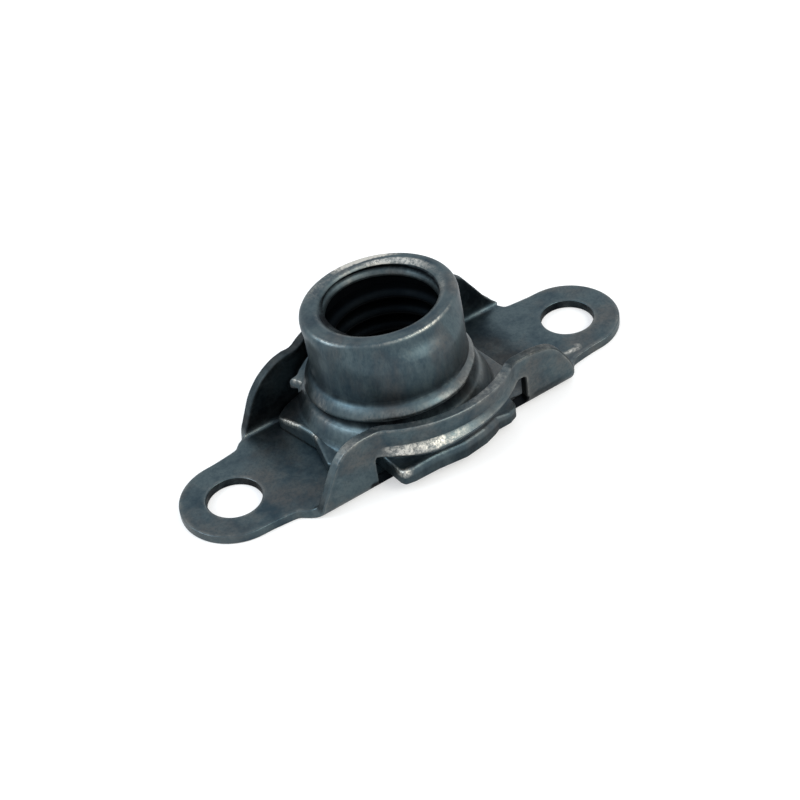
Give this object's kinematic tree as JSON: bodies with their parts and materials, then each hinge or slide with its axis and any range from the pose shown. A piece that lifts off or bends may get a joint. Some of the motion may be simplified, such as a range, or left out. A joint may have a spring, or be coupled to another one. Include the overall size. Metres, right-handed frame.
{
  "type": "rivet-on nut",
  "caption": "Floating rivet-on nut: a threaded barrel on an eared flange, held with play in a pressed sheet cage with rivet lugs.",
  "frame": {"origin": "midway between the two rivet holes, on the face that lies against the panel", "axes": "+X from lug to lug, +Z along the thread from the panel towards the end of the barrel, +Y across the cage"},
  "size_m": [0.0322, 0.0145, 0.0088],
  "materials": {
    "cage_steel": "dark blue-grey phosphate with a dry lubricant film, satin",
    "nut_steel": "dark blue-grey phosphate with a dry lubricant film, satin"
  },
  "bodies": {
    "cage": {"cage": "cage_steel"},
    "nut": {"nut_element": "nut_steel"}
  },
  "joints": [
    {"name": "nut_float", "type": "slide", "parent": "cage", "child": "nut", "axis": [1, 0, 0], "range_m": [-0.0001, 0.0011]}
  ]
}
